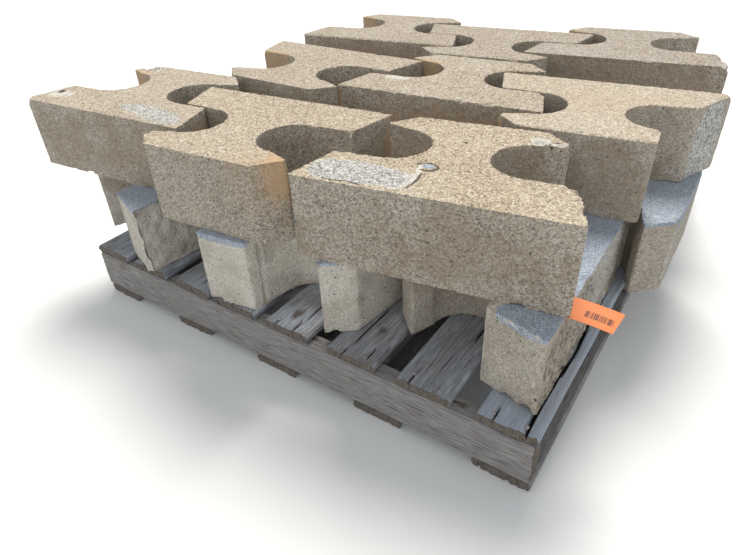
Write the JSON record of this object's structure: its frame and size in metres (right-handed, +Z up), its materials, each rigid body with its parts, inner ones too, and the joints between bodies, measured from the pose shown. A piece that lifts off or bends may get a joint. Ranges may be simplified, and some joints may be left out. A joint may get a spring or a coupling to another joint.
{
  "type": "pallet of concrete blocks",
  "caption": "Timber pallet carrying layers of solid interlocking concrete retaining-wall blocks, nested wing in slot, with a card tag pinched between the layers.",
  "frame": {"origin": "centre of the pallet's underside, where it stands on the floor", "axes": "+Z up; +X to the right along the stringers; +Y to the back along the deck boards; the front is the side nearer the camera on which the front right block faces out"},
  "size_m": [1.3046, 1.2309, 0.431],
  "materials": {
    "concrete": "matte",
    "timber": "matte",
    "tag_card": "satin"
  },
  "bodies": {
    "root": {"block_lower_centre_back": "concrete", "block_lower_centre_front": "concrete", "block_lower_centre_middle": "concrete", "block_lower_left_back": "concrete", "block_lower_left_front": "concrete", "block_lower_left_middle": "concrete", "block_lower_right_back": "concrete", "block_lower_right_front": "concrete", "block_lower_right_middle": "concrete", "block_upper_back_left": "concrete", "block_upper_back_middle": "concrete", "block_upper_back_right": "concrete", "block_upper_centre_left": "concrete", "block_upper_centre_middle": "concrete", "block_upper_centre_right": "concrete", "block_upper_front_left": "concrete", "block_upper_front_middle": "concrete", "block_upper_front_right": "concrete", "bottom_board_1": "timber", "bottom_board_2": "timber", "bottom_board_3": "timber", "bottom_board_4": "timber", "bottom_board_5": "timber", "card_tag": "tag_card", "deck_board_1": "timber", "deck_board_2": "timber", "deck_board_3": "timber", "deck_board_4": "timber", "deck_board_5": "timber", "deck_board_6": "timber", "deck_board_7": "timber", "deck_board_8": "timber", "stringer_back": "timber", "stringer_centre": "timber", "stringer_front": "timber"}
  },
  "joints": []
}
